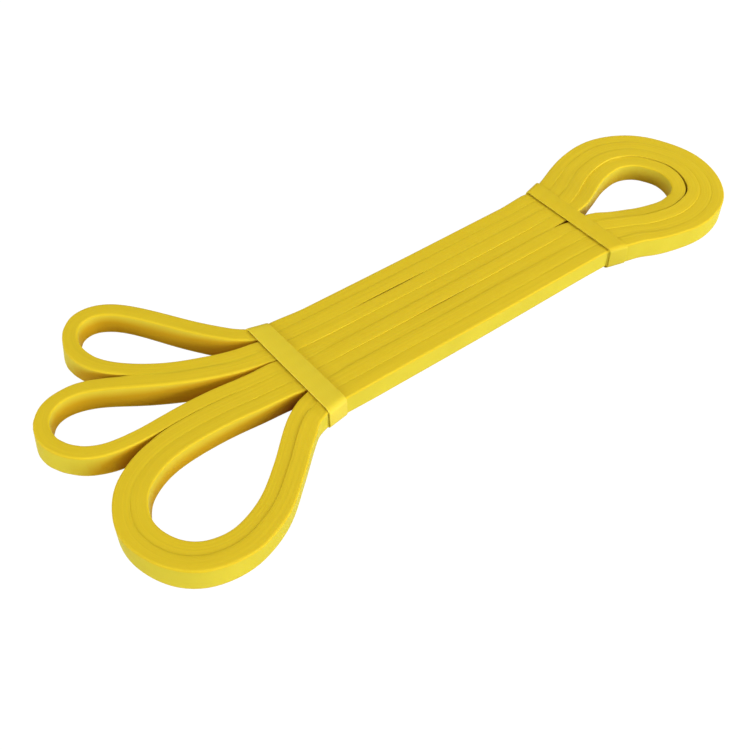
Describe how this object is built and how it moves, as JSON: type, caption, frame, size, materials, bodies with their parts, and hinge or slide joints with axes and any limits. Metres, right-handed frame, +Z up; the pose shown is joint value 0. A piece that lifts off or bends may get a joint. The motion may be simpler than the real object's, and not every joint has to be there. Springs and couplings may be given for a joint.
{
  "type": "loop exercise band",
  "caption": "Endless flat latex exercise band, folded on edge into a flat bundle with open loops at both ends and held by rubber ties that slide along it.",
  "frame": {"origin": "middle of the box round the folded band, on the ground that it lies on", "axes": "+X along the bundle towards the eye that all strands share, +Y across the bundle away from the double loop, +Z up"},
  "size_m": [0.2504, 0.1072, 0.0084],
  "materials": {
    "band_latex": "satin natural latex, moulded smooth with a faint powdery grain",
    "tie_latex": "satin thin latex"
  },
  "bodies": {
    "band": {"loop_band": "band_latex"},
    "left_tie": {"left_tie": "tie_latex"},
    "right_tie": {"right_tie": "tie_latex"}
  },
  "joints": [
    {"name": "left_tie_slide", "type": "slide", "parent": "band", "child": "left_tie", "axis": [1, 0, 0], "range_m": [0, 0.05]},
    {"name": "right_tie_slide", "type": "slide", "parent": "band", "child": "right_tie", "axis": [1, 0, 0], "range_m": [-0.05, 0]}
  ]
}
